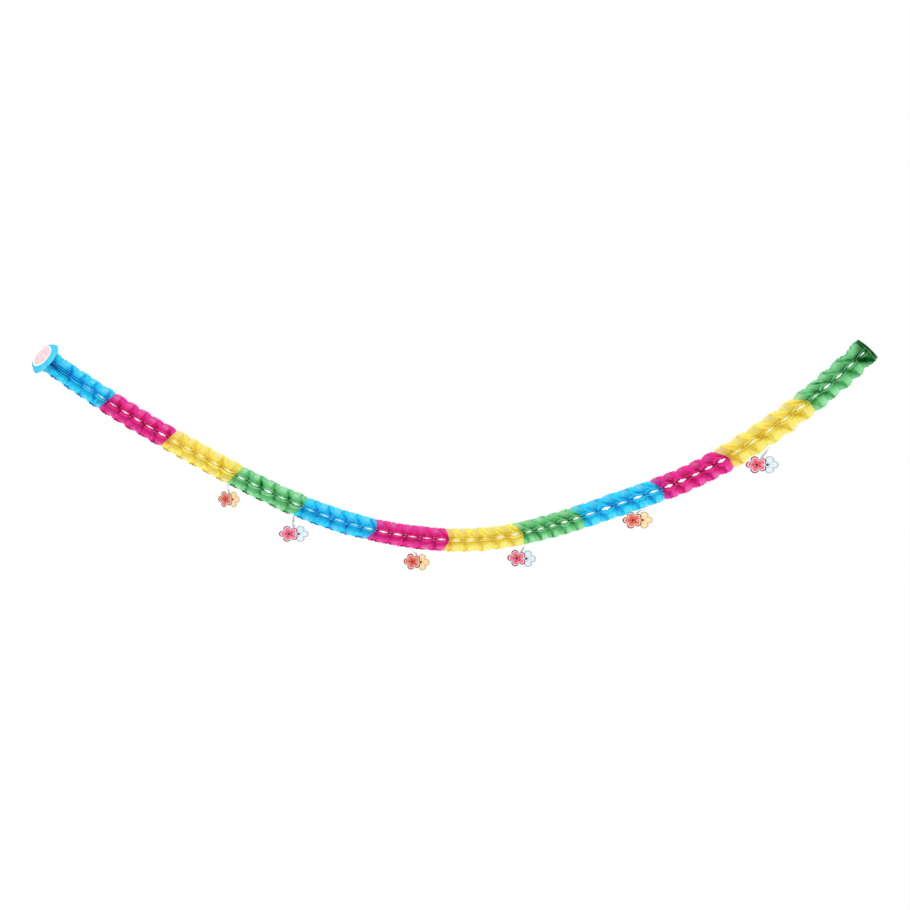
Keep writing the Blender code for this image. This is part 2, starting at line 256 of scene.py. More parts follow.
class TubeLine:
    """The middle of the tube, summed from the slopes and the turn as in the solids."""

    STEP = 0.002

    def __init__(self):
        self.starts = [0.0]
        for _colour, stretch, _slope, _fullness in LENGTHS_OF_COLOUR:
            self.starts.append(self.starts[-1] + stretch * CELL_LENGTH * SHEETS_IN_A_LENGTH / 2)
        self.length = self.starts[-1]
        self.slopes = [row[2] for row in LENGTHS_OF_COLOUR] + [END_SLOPE]
        self.fullness = [row[3] for row in LENGTHS_OF_COLOUR]
        self.fullness.append(self.fullness[-1])
        self.points = [Vector()]
        for step in range(math.ceil(self.length / self.STEP) + 2):
            ahead = self.ahead((step + 0.5) * self.STEP)
            self.points.append(self.points[-1] + ahead * self.STEP)
        self.planes = self.glue_planes()
        self.wander = self.hand_hung()

    def share(self, place):
        index = 0
        while index < len(LENGTHS_OF_COLOUR) - 1 and place >= self.starts[index + 1]:
            index += 1
        start, end = self.starts[index : index + 2]
        return index, (place - start) / (end - start)

    def ahead(self, place):
        index, along = self.share(place)
        slope = math.radians(self.slopes[index] * (1 - along) + self.slopes[index + 1] * along)
        turn = math.radians(TURN_AT_LEFT_END) * max(0.0, 1 - place / TURN_LENGTH) ** 2
        level = math.cos(slope)
        return Vector((level * math.cos(turn), level * math.sin(turn), math.sin(slope)))

    def axes(self, place):
        """The point at a place, and the ways ahead, to the front and up there."""
        steps = place / self.STEP
        index = min(max(int(steps), 0), len(self.points) - 2)
        point = self.points[index].lerp(self.points[index + 1], steps - index)
        ahead = self.ahead(place)
        front = Vector((ahead.y, -ahead.x, 0.0)).normalized()
        faced = math.radians(FACED) * eased(1 - place / FACED_LENGTH)
        if faced > 0:
            round_to_front = Matrix.Rotation(faced, 3, (SEEN_FROM - point).cross(ahead))
            ahead, front = round_to_front @ ahead, round_to_front @ front
        return point, ahead, front, front.cross(ahead)

    def fullness_at(self, place):
        index, along = self.share(place)
        return self.fullness[index] * (1 - along) + self.fullness[index + 1] * along

    def glue_planes(self):
        first = CARD_THICKNESS + GAP
        last = self.length - CARD_THICKNESS - GAP
        planes = []
        for start, end in zip(self.starts, self.starts[1:]):
            spacing = (end - start) / SHEETS_IN_A_LENGTH
            planes += [start + step * spacing for step in range(SHEETS_IN_A_LENGTH)]
        planes.append(last)
        planes[0] = first
        planes[1] = first + (planes[1] - first) * END_CELL_SHARE
        planes[-2] = last - (last - planes[-2]) * END_CELL_SHARE
        return planes

    def hand_hung(self):
        """Small seeded differences at each glue plane, one for each of the spreads."""
        chance = random.Random(WANDER_SEED)
        rows = []
        for plane in range(len(self.planes)):
            ends = min(plane, len(self.planes) - 1 - plane, WANDER_EASE) / WANDER_EASE
            row = [chance.gauss(0, spread) * ends for spread in WANDER_SPREADS]
            rows.append([max(-2 * w, min(2 * w, r)) for r, w in zip(row, WANDER_SPREADS)])
        return rows


# Shares of one column that are glued and free, and how the die cut treats its free edge
SEAM_COLUMNS = (0, 4)
GLUED_SHARE = 0.09
TEETH_ON_FREE_EDGE = 3
SEAM_TOOTH_SHARE = 0.25
SCALLOP_BULGE = 0.05
WINDOW_ROUNDNESS = 2.0
# Half the glued edge in a valley and at least in a seam, and the gap to the neighbour, in metres
GLUE_HALF_WIDTH = 0.009
SEAM_GLUE_SHARE = 0.30
SEAM_GLUE_HALF = 0.0030
SHEET_CLEARANCE = 0.00006
# How high the windows are in each length of colour, and how closed the back is at the left end
OPENING_SHARES = (1.0, 0.9, 0.74, 1.0, 0.64, 0.66, 0.74, 1.0, 1.15, 1.15, 0.84, 0.9)
BACK_CLOSED = 0.95
CLOSING_RATE = 2.5
# A sheet's middle is pulled towards its glued seam, by a share, and the sheet leaves its middle
# over a radius in metres
CENTRE_SHARE = 0.22
TIGHT_CENTRE_SHARE = 0.9
VALLEY_GLUE_START = 0.005
LOBE_GLUE_START = 0.018
TIGHT_GLUE_START = 0.004
FREE_EDGE_EASE = 0.45
# Crinkle: noise of two sizes, by how many fit in a metre, and how much is left at the middle. The
# seed is set because noise vectors start from another place in each run without it
CRINKLE_SEED = 5
COARSE_CRINKLE = 38
FINE_CRINKLE = 110
COARSE_SHARE = 0.7
CRINKLE_AT_MIDDLE = 0.3

# The collar widens quickly behind the left card, then necks to the tube
COLLAR_WIDENS = 0.005
COLLAR_NECK = 0.022

# The sheets slump downhill at the top, reach on at the seam, and are combed round towards the
# room. Past NOSE_FROM they hold at the bottom, before it between the middle and the bottom
LEAN = 0.40
LEAN_SLOPE = 12.0
HELD_SHARE = 0.5
NOSE = 0.026
NOSE_FROM = 1.0
NOSE_LENGTH = 0.7
SEEN_SHARE = 0.95
SLUMP_FADE = 0.14


def is_valley(column):
    return column % 2 == 0


def closed_share(tight):
    """How far a sheet is pressed shut, from how near it is to the tight left end."""
    return min(CLOSING_RATE * tight, 1.0)


def glued_edge(tube, settings, place, column, opening):
    """Both ends of a column's glued edge, as (to the front, up)."""
    angle = column * math.tau / COLUMNS
    to_front, to_top = math.cos(angle), math.sin(angle)
    tight = max(0.0, 1 - place / settings.tight_length)
    normal, slit = settings.window_half_height, settings.tight_half_height
    opening *= OPENING_SHARES[tube.share(place)[0]]
    beside_window = (normal + (slit - normal) * tight) * opening
    if is_valley(column):
        radius, half = settings.valley_radius, GLUE_HALF_WIDTH
        if column in SEAM_COLUMNS:
            radius = settings.seam_radius
            half = max(beside_window * SEAM_GLUE_SHARE, SEAM_GLUE_HALF)
        near = Vector((to_front * radius + to_top * half, to_top * radius - to_front * half))
        far = Vector((to_front * radius - to_top * half, to_top * radius + to_front * half))
    else:
        front_sign, top_sign = math.copysign(1, to_front), math.copysign(1, to_top)
        if front_sign < 0:
            beside_window *= 1 - BACK_CLOSED * closed_share(tight)
        near = Vector((front_sign * settings.lobe_depth, top_sign * beside_window))
        reach = settings.lobe_reach * tube.fullness_at(place)
        far = Vector((front_sign * settings.lobe_top_depth, top_sign * reach))
        if front_sign * top_sign < 0:
            near, far = far, near
    return near, far


def die_cut_point(edges, settings, turn):
    """A point of a sheet's die-cut outline, turn being counted in columns."""
    column = int(turn) % COLUMNS
    along = turn - int(turn)
    near, far = edges[column]
    next_near, next_far = edges[(column + 1) % COLUMNS]
    if along < GLUED_SHARE:
        return near.lerp(far, 0.5 + 0.5 * along / GLUED_SHARE)
    if along > 1 - GLUED_SHARE:
        return next_near.lerp(next_far, 0.5 - 0.5 * (1 - along) / GLUED_SHARE)
    free = (along - GLUED_SHARE) / (1 - 2 * GLUED_SHARE)
    from_seam = column in SEAM_COLUMNS
    to_seam = (column + 1) % COLUMNS in SEAM_COLUMNS
    drawn = free
    if from_seam:
        drawn = 1 - (1 - free) ** WINDOW_ROUNDNESS
    if to_seam:
        drawn = free**WINDOW_ROUNDNESS
    point = far.lerp(next_near, drawn)
    tooth = 0.5 - 0.5 * math.cos(math.tau * TEETH_ON_FREE_EDGE * free)
    depth = settings.deckle_depth * (SEAM_TOOTH_SHARE if from_seam or to_seam else 1.0) * tooth
    bulge = SCALLOP_BULGE * math.sin(math.pi * free)
    return point * (1 + bulge) - point.normalized() * depth


def settle(tube, settings, place, flat):
    """The place and (to the front, up) of a spot of a sheet, once it has slumped and turned."""
    fade = eased(place / SLUMP_FADE) * eased((tube.length - place) / SLUMP_FADE)
    point, ahead, front, up = tube.axes(place)
    slope = math.degrees(math.asin(ahead.z))
    nosing = risen(place, NOSE_FROM, NOSE_LENGTH)
    held = settings.valley_radius * (HELD_SHARE + (1 - HELD_SHARE) * nosing)
    lean = -LEAN * math.tanh(slope / LEAN_SLOPE) * (flat.y + held)
    height = min(math.hypot(flat.y, GLUE_HALF_WIDTH) / settings.valley_radius, 1.0)
    nose = NOSE * nosing * (1 - height)
    sight = SEEN_FROM - point
    turned = SEEN_SHARE * flat.x / sight.dot(front)
    raised = turned * sight.dot(up) * (1 - height) * fade
    moved = place + (lean + nose + turned * sight.dot(ahead)) * fade
    return min(max(moved, tube.planes[0]), tube.planes[-1]), Vector((flat.x, flat.y + raised))


def collared(settings, place, rim):
    """A rim point, out on the collar if it lies close behind the left card."""
    reach = settings.inner_collar - settings.end_tuck * math.exp(-place / COLLAR_WIDENS)
    collar = eased((settings.collar_length - place) / (settings.collar_length - COLLAR_NECK))
    return rim * (1 + (reach / rim.length - 1) * collar)


# The tissue's tones: painted light and painted shade, with cloudy dye. Heights are shares of a
# lobe's reach, radii shares of a sheet's own, lengths are metres from the right end, a rise is
# where something starts and over what width it grows, and the depths are shares of the way to the
# palest tone, painted light, or the deepest, painted shade.
# Cloudy dye: noise of two sizes, by how many clouds fit in a metre
LARGE_CLOUDS = 24
SMALL_CLOUDS = 60
LARGE_CLOUD_DEPTH = 0.7
SMALL_CLOUD_DEPTH = 0.5
LEAST_CLOUD = 0.35
# Painted light: single layers by the lobes' outer edges are painted pale, as lit through, less on
# downhill sheets, on the undersides and in the stacked right end
OUTER_RISE = (0.25, 0.6)
DOWNHILL_PALE = 0.2
UNDERSIDE_PALE = 0.7
LAYERED_PALE = 0.4
LAYERED_LENGTH = 0.30
# Painted shade deep inside the cells, and in the slits of the left end
INSIDE_RADIUS = 0.36
INSIDE_WIDTH = 0.24
INSIDE_DEPTH = 0.45
TIGHT_INSIDE_DEPTH = 0.3
SLIT_RATE = 1.3
SLIT_SHADE = 0.07
# Darker along the cut rim: flecks along the top, and dashes of painted shade on the lobes' lower
# edges that deepen to the left
RIM_RISE = (0.82, 0.12)
RIM_FLECKS = 90
UPPER_RIM_DEPTH = 0.5
DASH_DEPTH = 0.25
DASH_MORE_DEPTH = 0.6
DASH_RISE = (1.3, 1.0)
DASH_FROM_VALLEY = 0.45
# Painted shade of the fold across each second lobe, on the side turned from the key light
FOLD_WIDTH = 0.34
FOLD_DEPTH = 0.42
LEAST_FOLD = 0.4
# Painted shade in the closely stacked right end, and painted shade behind the left card
CLOSED_DEPTH = 0.20
CLOSED_LENGTH = 0.10
DENSE_DEPTH = 0.10
DENSE_LENGTH = 0.45
BEHIND_CARD_DEPTH = 0.6
BEHIND_CARD_RISE = (0.84, 0.12)
BEHIND_CARD_TOP = 0.5


def painted_light_and_dye_tone(point, height, share, from_valley, sheet, to_end, tight):
    """How pale (to 1) or deep (to 0) the tissue is painted at a spot, 0.5 being its own colour.

    Painted light makes single layers by the lobes' outer edges pale, as lit through. Painted shade
    deepens the inside, the slits, the stacked right end and the tissue behind the left card, the
    cut rim is darker, and a fold runs in painted shade from each lobe's outer edge to the end of
    the window beside it. Cloudy dye varies the tone.
    """
    large = LARGE_CLOUD_DEPTH * noise.noise(point * LARGE_CLOUDS)
    small = SMALL_CLOUD_DEPTH * noise.noise(point * SMALL_CLOUDS)
    clouds = 0.5 + large + small
    # Painted light: pale patches by the outer edges, as lit through
    outer = risen(abs(height), *OUTER_RISE)
    uphill = (sheet % 2 == 0) == (height > 0)
    patch = outer * (1.0 if uphill else DOWNHILL_PALE) * (1.0 if height > 0 else UNDERSIDE_PALE)
    patch *= LAYERED_PALE + (1 - LAYERED_PALE) * eased(to_end / LAYERED_LENGTH)
    pale = min(max(patch * (LEAST_CLOUD + clouds), 0.0), 1.0)
    painted_inside_shade = INSIDE_DEPTH + TIGHT_INSIDE_DEPTH * tight
    painted_inside_shade *= eased((INSIDE_RADIUS - share) / INSIDE_WIDTH)
    slit = min(SLIT_RATE * tight, 1.0) * (1 - eased(abs(height) / SLIT_SHADE))
    if height < 0:
        painted_dash_shade = DASH_DEPTH + DASH_MORE_DEPTH * risen(to_end, *DASH_RISE)
        rim_darkening = painted_dash_shade if from_valley > DASH_FROM_VALLEY else 0.0
    else:
        rim_darkening = UPPER_RIM_DEPTH * (0.5 + 0.5 * noise.noise(point * RIM_FLECKS))
    rim = risen(share, *RIM_RISE) * rim_darkening * outer
    stripe = (from_valley - abs(height)) / FOLD_WIDTH
    painted_fold_shade = 0.0 if uphill else FOLD_DEPTH * math.exp(-stripe * stripe) * (LEAST_FOLD + clouds)
    painted_closed_shade = CLOSED_DEPTH * eased(1 - to_end / CLOSED_LENGTH)
    painted_dense_shade = DENSE_DEPTH * eased(1 - to_end / DENSE_LENGTH)
    painted_card_shade = BEHIND_CARD_DEPTH * risen(tight, *BEHIND_CARD_RISE)
    painted_card_shade *= eased(BEHIND_CARD_TOP - height)
    # All the painted shade together; the painted light shows only where there is no shade
    painted_shade = min(max(painted_inside_shade, rim, painted_fold_shade, slit, painted_card_shade) + (painted_closed_shade + painted_dense_shade), 1.0)
    return 0.5 + 0.5 * pale * (1 - painted_shade) - 0.5 * painted_shade


def shape_sheet(verts, tube, settings, sheet, tones):
    """Draw the disc's vertices out to the sheet between two glue planes."""
    places = []
    edges = []
    for column in range(COLUMNS):
        glued_ahead = is_valley(column) != (sheet % 2 == 0)
        plane = sheet + 1 if glued_ahead else sheet
        along, twist, fuller, opener = tube.wander[plane]
        clear = -SHEET_CLEARANCE if glued_ahead else SHEET_CLEARANCE
        places.append(tube.planes[plane] + along + clear)
        turned = Matrix.Rotation(twist, 2)
        ends = glued_edge(tube, settings, tube.planes[plane], column, 1 + opener)
        edges.append([turned @ end * (1 + fuller) for end in ends])
    middle = (tube.planes[sheet] + tube.planes[sheet + 1]) / 2
    tight = max(0.0, 1 - middle / settings.tight_length)
    pulled = CENTRE_SHARE + (TIGHT_CENTRE_SHARE - CENTRE_SHARE) * closed_share(tight)
    centre = middle + (places[0] - middle) * pulled
    lobe_start = LOBE_GLUE_START + (TIGHT_GLUE_START - LOBE_GLUE_START) * tight
    for vert in verts:
        share = min(vert.co.length, 1.0)
        turn = (math.atan2(vert.co.y, vert.co.x) / math.tau * COLUMNS) % COLUMNS
        column = int(turn) % COLUMNS
        along = turn - int(turn)
        rim = die_cut_point(edges, settings, turn)
        free = min(max((along - GLUED_SHARE) / (1 - 2 * GLUED_SHARE), 0.0), 1.0)
        free = (1 - FREE_EDGE_EASE) * free + FREE_EDGE_EASE * eased(free)
        here, following = places[column], places[(column + 1) % COLUMNS]
        place = here + (following - here) * free
        flat = collared(settings, place, rim) * share
        from_valley = 1 - free if column % 2 else free
        start = VALLEY_GLUE_START + (lobe_start - VALLEY_GLUE_START) * from_valley
        place = centre + (place - centre) * eased(flat.length / start)
        height = flat.y / settings.lobe_reach
        place, flat = settle(tube, settings, place, flat)
        point, _ahead, front, up = tube.axes(place)
        point = point + front * flat.x + up * flat.y
        coarse = noise.noise_vector(point * COARSE_CRINKLE) * COARSE_SHARE
        fine = noise.noise_vector(point * FINE_CRINKLE) * (1 - COARSE_SHARE)
        free_share = CRINKLE_AT_MIDDLE + (1 - CRINKLE_AT_MIDDLE) * share
        tone = painted_light_and_dye_tone(point, height, share, from_valley, sheet, tube.length - place, tight)
        tones[vert] = (tone, share)
        vert.co = point + (coarse + fine) * settings.crinkle * free_share


def unit_disc(settings):
    """A disc of rings and spokes, from a filled circle that is inset ring by ring."""
    bm = bmesh.new()
    bmesh.ops.create_circle(bm, cap_ends=True, segments=settings.spokes, radius=1.0)
    inner = bm.faces[:]
    step = 1.0 / settings.rings
    for _ring in range(settings.rings - 1):
        bmesh.ops.inset_region(
            bm, faces=inner, thickness=step, use_boundary=True, use_even_offset=True
        )
    bmesh.ops.poke(bm, faces=inner)
    mesh = bpy.data.meshes.new("unit_disc")
    bm.to_mesh(mesh)
    bm.free()
    return mesh


def finish_mesh(bm, name, materials, smooth=True):
    """Turn a bmesh into a named object at the origin."""
    mesh = bpy.data.meshes.new(name)
    bm.to_mesh(mesh)
    bm.free()
    for polygon in mesh.polygons:
        polygon.use_smooth = smooth
    for material in materials:
        mesh.materials.append(material)
    item = bpy.data.objects.new(name, mesh)
    bpy.context.scene.collection.objects.link(item)
    return item


def dress(item, slot, *replaced):
    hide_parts(*replaced)
    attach(item, "root")


# How deep the darkest painted shade is, and how far clouds too small for the mesh change its
# tone
DARKEST_SHADE_SHARE = 0.22
FINE_CLOUDS = 0.24
TISSUE_LETS_THROUGH = 0.42


def tissue_material(name, mid, pale, deep):
    """Dyed tissue paper with painted light and shade in its colour: painted pale where one layer
    stands free, as lit through, full colour where layers lie together, deep in painted shade.

    Thin fibre paper has no gloss, shows soft creases and lets the light of the room through.
    """
    material, tree, surface = new_material(name)
    dye = node(tree, "ShaderNodeUVMap", {"uv_map": "dye"})
    split = node(tree, "ShaderNodeSeparateXYZ", links={"Vector": dye.outputs["UV"]})
    place = node(tree, "ShaderNodeTexCoord").outputs["Object"]
    # Cloudy dye, about 20 mm across
    clouds = noise_share(tree, place, 50.0, 3.0)
    tone = maths(tree, "MULTIPLY_ADD", clouds, FINE_CLOUDS, -FINE_CLOUDS / 2)
    tone = maths(tree, "ADD", tone, split.outputs["X"], clamp=True)
    # The ramp: darkest and deep are painted shade, mid is the tissue's own colour, pale is painted
    # light
    darkest_shade = darkened(deep, DARKEST_SHADE_SHARE)
    stops = [(0.0, darkest_shade), (0.2, deep), (0.47, mid), (0.57, mid), (1.0, pale)]
    colour = ramp(tree, tone, stops)
    # Soft creases about 9 mm apart with finer fibre crinkle of 1.5 mm, drawn coarse enough to show
    creases = noise_share(tree, place, 110.0, 4.0, "RIDGED_MULTIFRACTAL", 0.6)
    bump = node(
        tree, "ShaderNodeBump", links={"Strength": 0.8, "Distance": 0.0016, "Height": creases}
    )
    front = node(
        tree,
        "ShaderNodeBsdfPrincipled",
        links={
            "Base Color": colour,
            "Roughness": 0.92,
            "Specular IOR Level": 0.15,
            "Normal": bump.outputs["Normal"],
        },
    )
    through = node(
        tree,
        "ShaderNodeBsdfTranslucent",
        links={"Color": colour, "Normal": bump.outputs["Normal"]},
    )
    tree.links.new(mix_shaders(tree, TISSUE_LETS_THROUGH, front, through), surface)
    return material


# Flat sheets glued in a pad at each end: how many, how far apart, how wavy their rims are, and
# the right ones' radius, cupping and tone, a little deep for painted shade in the closed stack
END_PAD_SHEETS = 3
END_PAD_SPACING = 0.0012
PAD_WAVES = 8
PAD_WAVE = 0.025
RIGHT_PAD_RADIUS = 0.053
RIGHT_PAD_CUP = 0.004
RIGHT_PAD_TONE = 0.43
# The left ones bend back past a share of their radius, each a little less, painted pale as lit
# through, under cloudy dye
COLLAR_BEND = 0.70
COLLAR_BACK = 0.022
COLLAR_LAYER = 0.1
COLLAR_TONE = 0.70
COLLAR_CLOUDS = 0.25
CLOUDS_ROUND = 2
CLOUDS_OUT = 3


def pad_sheets(tube, settings, disc, bm, at_start):
    """Closely stacked sheets between an end card and the first open cell.

    At the left end they bend back past the card into the collar.
    """
    tones = {}
    for number in range(END_PAD_SHEETS):
        before = len(bm.verts)
        bm.from_mesh(disc)
        bm.verts.ensure_lookup_table()
        depth = END_PAD_SPACING * (number + 0.5)
        place = tube.planes[0] + depth if at_start else tube.planes[-1] - depth
        for vert in bm.verts[before:]:
            share = vert.co.length
            turn = math.atan2(vert.co.y, vert.co.x)
            wave = 1 + PAD_WAVE * math.cos(PAD_WAVES * turn + number)
            if at_start:
                bent = max(0.0, (share - COLLAR_BEND) / (1 - COLLAR_BEND)) ** 3
                spot = place + COLLAR_BACK * bent * (wave - COLLAR_LAYER * number)
                radius = settings.collar_radius * share
                spread = Vector((turn * CLOUDS_ROUND, share * CLOUDS_OUT, number))
                # Painted light: the collar is painted pale, as lit through, under cloudy dye
                tone = COLLAR_TONE + COLLAR_CLOUDS * noise.noise(spread)
            else:
                spot = place - RIGHT_PAD_CUP * number * share**3
                radius = RIGHT_PAD_RADIUS * share
                # Painted shade in the closely stacked right pad
                tone = RIGHT_PAD_TONE
            point, _ahead, front, up = tube.axes(spot)
            tones[vert] = (tone, share)
            rounding = front * math.cos(turn) + up * math.sin(turn)
            vert.co = point + rounding * (radius * wave)
    return tones


class GARLAND_OT_tissue(bpy.types.Operator):
    """Build the twelve lengths of die-cut tissue"""

    bl_idname = "garland.tissue"
    bl_label = "Tissue lengths"

    def execute(self, context):
        settings = context.scene.garland_tissue
        noise.seed_set(CRINKLE_SEED)
        tube = TubeLine()
        disc = unit_disc(settings)
        materials = {
            colour: tissue_material(
                f"dyed_tissue_paper_{colour}",
                getattr(settings, colour),
                getattr(settings, f"{colour}_pale"),
                getattr(settings, f"{colour}_deep"),
            )
            for colour in ("blue", "pink", "yellow", "green")
        }
        counts = dict.fromkeys(materials, 0)
        last = len(LENGTHS_OF_COLOUR) - 1
        for index, (colour, *_rest) in enumerate(LENGTHS_OF_COLOUR):
            counts[colour] += 1
            bm = bmesh.new()
            tones = {}
            for sheet in range(index * SHEETS_IN_A_LENGTH, (index + 1) * SHEETS_IN_A_LENGTH):
                before = len(bm.verts)
                bm.from_mesh(disc)
                bm.verts.ensure_lookup_table()
                shape_sheet(bm.verts[before:], tube, settings, sheet, tones)
            if index in (0, last):
                tones.update(pad_sheets(tube, settings, disc, bm, index == 0))
            # The UV map carries each spot's painted light and shade with its cloudy dye, and its
            # radius share
            layer = bm.loops.layers.uv.new("dye")
            for face in bm.faces:
                for loop in face.loops:
                    loop[layer].uv = tones[loop.vert]
            number = counts[colour]
            item = finish_mesh(bm, f"{colour}_tissue_paper_{number}", [materials[colour]])
            dress(item, f"{colour}_tissue", f"{colour}_tissue_{number}")
        bpy.data.meshes.remove(disc)
        return {"FINISHED"}


# How much of its light is left where board is darkest
BOARD_SHADE = 0.9


def board_material(name, colour):
    """Uncoated paperboard: matt, with a faint cloudy fibre."""
    material, tree, surface = new_material(name)
    # Fibre clouds about 4 mm across
    fibre = noise_share(tree, node(tree, "ShaderNodeTexCoord").outputs["Object"], 250.0, 4.0)
    shade = ramp(tree, fibre, [(0.3, darkened(colour, BOARD_SHADE)), (0.7, colour)])
    bump = node(
        tree, "ShaderNodeBump", links={"Strength": 0.2, "Distance": 0.0001, "Height": fibre}
    )
    board = node(
        tree,
        "ShaderNodeBsdfPrincipled",
        links={"Base Color": shade, "Roughness": 0.8, "Normal": bump.outputs["Normal"]},
    )
    tree.links.new(board.outputs["BSDF"], surface)
    return material


def coated_card(tree, surface, share, second, first, roughness):
    """Coated card under a light gloss, printed in the first colour where the share is 1."""
    links = {"Factor": share, 6: second, 7: first}
    shown = node(tree, "ShaderNodeMix", {"data_type": "RGBA"}, links)
    card = node(
        tree,
        "ShaderNodeBsdfPrincipled",
        links={"Base Color": shown.outputs[2], "Roughness": roughness, "Specular IOR Level": 0.4},
    )
    tree.links.new(card.outputs["BSDF"], surface)


def pastel_print_material(settings):
    """Coated card with a soft pastel print inside a white rim: a slight even sheen."""
    material, tree, surface = new_material("coated_card_pastel_print")
    uv = node(tree, "ShaderNodeUVMap", {"uv_map": "print"}).outputs["UV"]
    centred = vector_maths(tree, "SUBTRACT", uv, (0.5, 0.5, 0.0)).outputs["Vector"]
    radius = vector_maths(tree, "LENGTH", centred).outputs["Value"]
    # Soft blots about a third of the card across
    pastel = ramp(
        tree,
        noise_share(tree, uv, 3.0, 2.0),
        [
            (0.30, settings.print_green),
            (0.44, linear("#F3DDE0")),
            (0.52, settings.print_pink),
            (0.70, linear("#F9E6E8")),
        ],
    )
    in_rim = node(
        tree,
        "ShaderNodeMapRange",
        {"interpolation_type": "SMOOTHSTEP"},
        {"Value": radius, "From Min": 0.42, "From Max": 0.45},
    )
    coated_card(tree, surface, in_rim.outputs["Result"], pastel, linear("#FBFAF8"), 0.42)
    return material


END_CARD_SEGMENTS = 96


def thicken(bm, way):
    """Give a flat card its thickness, along a way."""
    made = bmesh.ops.extrude_face_region(bm, geom=bm.faces[:])["geom"]
    pushed = [item for item in made if isinstance(item, bmesh.types.BMVert)]
    bmesh.ops.translate(bm, verts=pushed, vec=Vector(way) * CARD_THICKNESS)


class GARLAND_OT_end_cards(bpy.types.Operator):
    """Build the two round end cards"""

    bl_idname = "garland.end_cards"
    bl_label = "End cards"

    def execute(self, context):
        settings = context.scene.garland_cards
        tube = TubeLine()
        print_face = pastel_print_material(settings)
        board = board_material("uncoated_white_board", settings.board)
        grey = board_material("grey_board", settings.grey_board)
        for name, at_start, faces in (
            ("left_end_card", True, [board, print_face]),
            ("right_end_card", False, [grey, grey]),
        ):
            point, ahead, front, up = tube.axes(0.0 if at_start else tube.length)
            outward = -ahead if at_start else ahead
            bm = bmesh.new()
            bmesh.ops.create_circle(
                bm, cap_ends=True, segments=END_CARD_SEGMENTS, radius=settings.end_radius
            )
            thicken(bm, (0, 0, 1))
            rims = []
            for edge in bm.edges:
                one_end, other_end = edge.verts
                if abs(one_end.co.z - other_end.co.z) < SAME_SPOT:
                    rims.append(edge)
            bmesh.ops.bevel(
                bm,
                geom=rims,
                offset=settings.rim,
                offset_type="OFFSET",
                segments=2,
                profile=0.5,
                affect="EDGES",
                material=-1,
            )
            bmesh.ops.recalc_face_normals(bm, faces=bm.faces)
            layer = bm.loops.layers.uv.new("print")
            for face in bm.faces:
                face.material_index = 1 if face.normal.z > 0.9 else 0
                for loop in face.loops:
                    flat = loop.vert.co.xy / (2 * settings.end_radius)
                    loop[layer].uv = (0.5 + flat.x, 0.5 + flat.y)
            side = up.cross(outward)
            turned = Matrix((side, up, outward)).transposed().to_4x4()
            turned.translation = point - outward * CARD_THICKNESS
            bmesh.ops.transform(bm, matrix=turned, verts=bm.verts)
            item = finish_mesh(bm, f"{name}_board", faces, smooth=False)
            dress(item, "end_card", name)
        return {"FINISHED"}


# The flowers, and the width in metres that the print's map covers. The printed outline goes deeper
# into the notches between the petals than the die cut does
PETALS = 5
PETAL_ROUNDNESS = 0.55
PRINTED_NOTCH_SHARE = 0.55
FLOWER_SEGMENTS = 100
PRINT_WIDTH = 0.16


def petal_reach(settings, angle):
    """The outline of one flower at an angle from the middle of its first petal."""
    swing = abs(math.cos(angle * PETALS / 2)) ** PETAL_ROUNDNESS
    return settings.petal_notch + (settings.petal_reach - settings.petal_notch) * swing


def flower_share(tree, settings, uv, centre, first_petal):
    """How far a spot is from a flower's middle, as a share of its petals' reach."""
    middle = (0.5 + centre / PRINT_WIDTH, 0.5, 0.0)
    moved = vector_maths(tree, "SUBTRACT", uv, middle).outputs["Vector"]
    metres = (PRINT_WIDTH / settings.stretch, PRINT_WIDTH, 0.0)
    scaled = vector_maths(tree, "MULTIPLY", moved, metres).outputs["Vector"]
    split = node(tree, "ShaderNodeSeparateXYZ", links={"Vector": scaled})
    distance = vector_maths(tree, "LENGTH", scaled).outputs["Value"]
    angle = maths(tree, "ARCTAN2", split.outputs["Y"], split.outputs["X"])
    half = maths(tree, "MULTIPLY_ADD", angle, PETALS / 2, -first_petal * PETALS / 2)
    size = maths(tree, "ABSOLUTE", maths(tree, "COSINE", half))
    swing = maths(tree, "POWER", size, PETAL_ROUNDNESS)
    notch = settings.petal_notch * PRINTED_NOTCH_SHARE
    links = {"Value": swing, "To Min": notch, "To Max": settings.petal_reach}
    reach = node(tree, "ShaderNodeMapRange", links=links)
    return maths(tree, "DIVIDE", distance, reach.outputs["Result"])


def flower_print_material(name, settings, front_colours, rear_colours):
    """Coated card with two printed flowers, the left one in front: flat inks, lightly glossy."""
    material, tree, surface = new_material(name)
    uv = node(tree, "ShaderNodeUVMap", {"uv_map": "print"}).outputs["UV"]
    offset = settings.spacing / 2
    front = flower_share(tree, settings, uv, -offset, math.pi)
    rear = flower_share(tree, settings, uv, offset, 0.0)
    middle, petal, flush, margin, line = (linear(colour) for colour in front_colours)
    white = linear("#FDF7F4")
    front_print = ramp(
        tree,
        front,
        [
            (0.0, middle),
            (0.15, middle),
            (0.20, flush),
            (0.26, petal),
            (0.40, petal),
            (0.52, flush),
            (0.60, flush),
            (0.66, petal),
            (0.72, petal),
            (0.76, margin),
            (0.83, margin),
            (0.86, line),
            (0.98, line),
            (1.0, white),
        ],
    )
    dot, pale, stripe, edge = (linear(colour) for colour in rear_colours)
    rear_print = ramp(
        tree,
        rear,
        [
            (0.0, dot),
            (0.14, dot),
            (0.20, stripe),
            (0.50, pale),
            (0.84, pale),
            (0.94, edge),
            (1.0, edge),
        ],
    )
    in_front = maths(tree, "LESS_THAN", front, 1.0)
    coated_card(tree, surface, in_front, rear_print, front_print, 0.38)
    return material


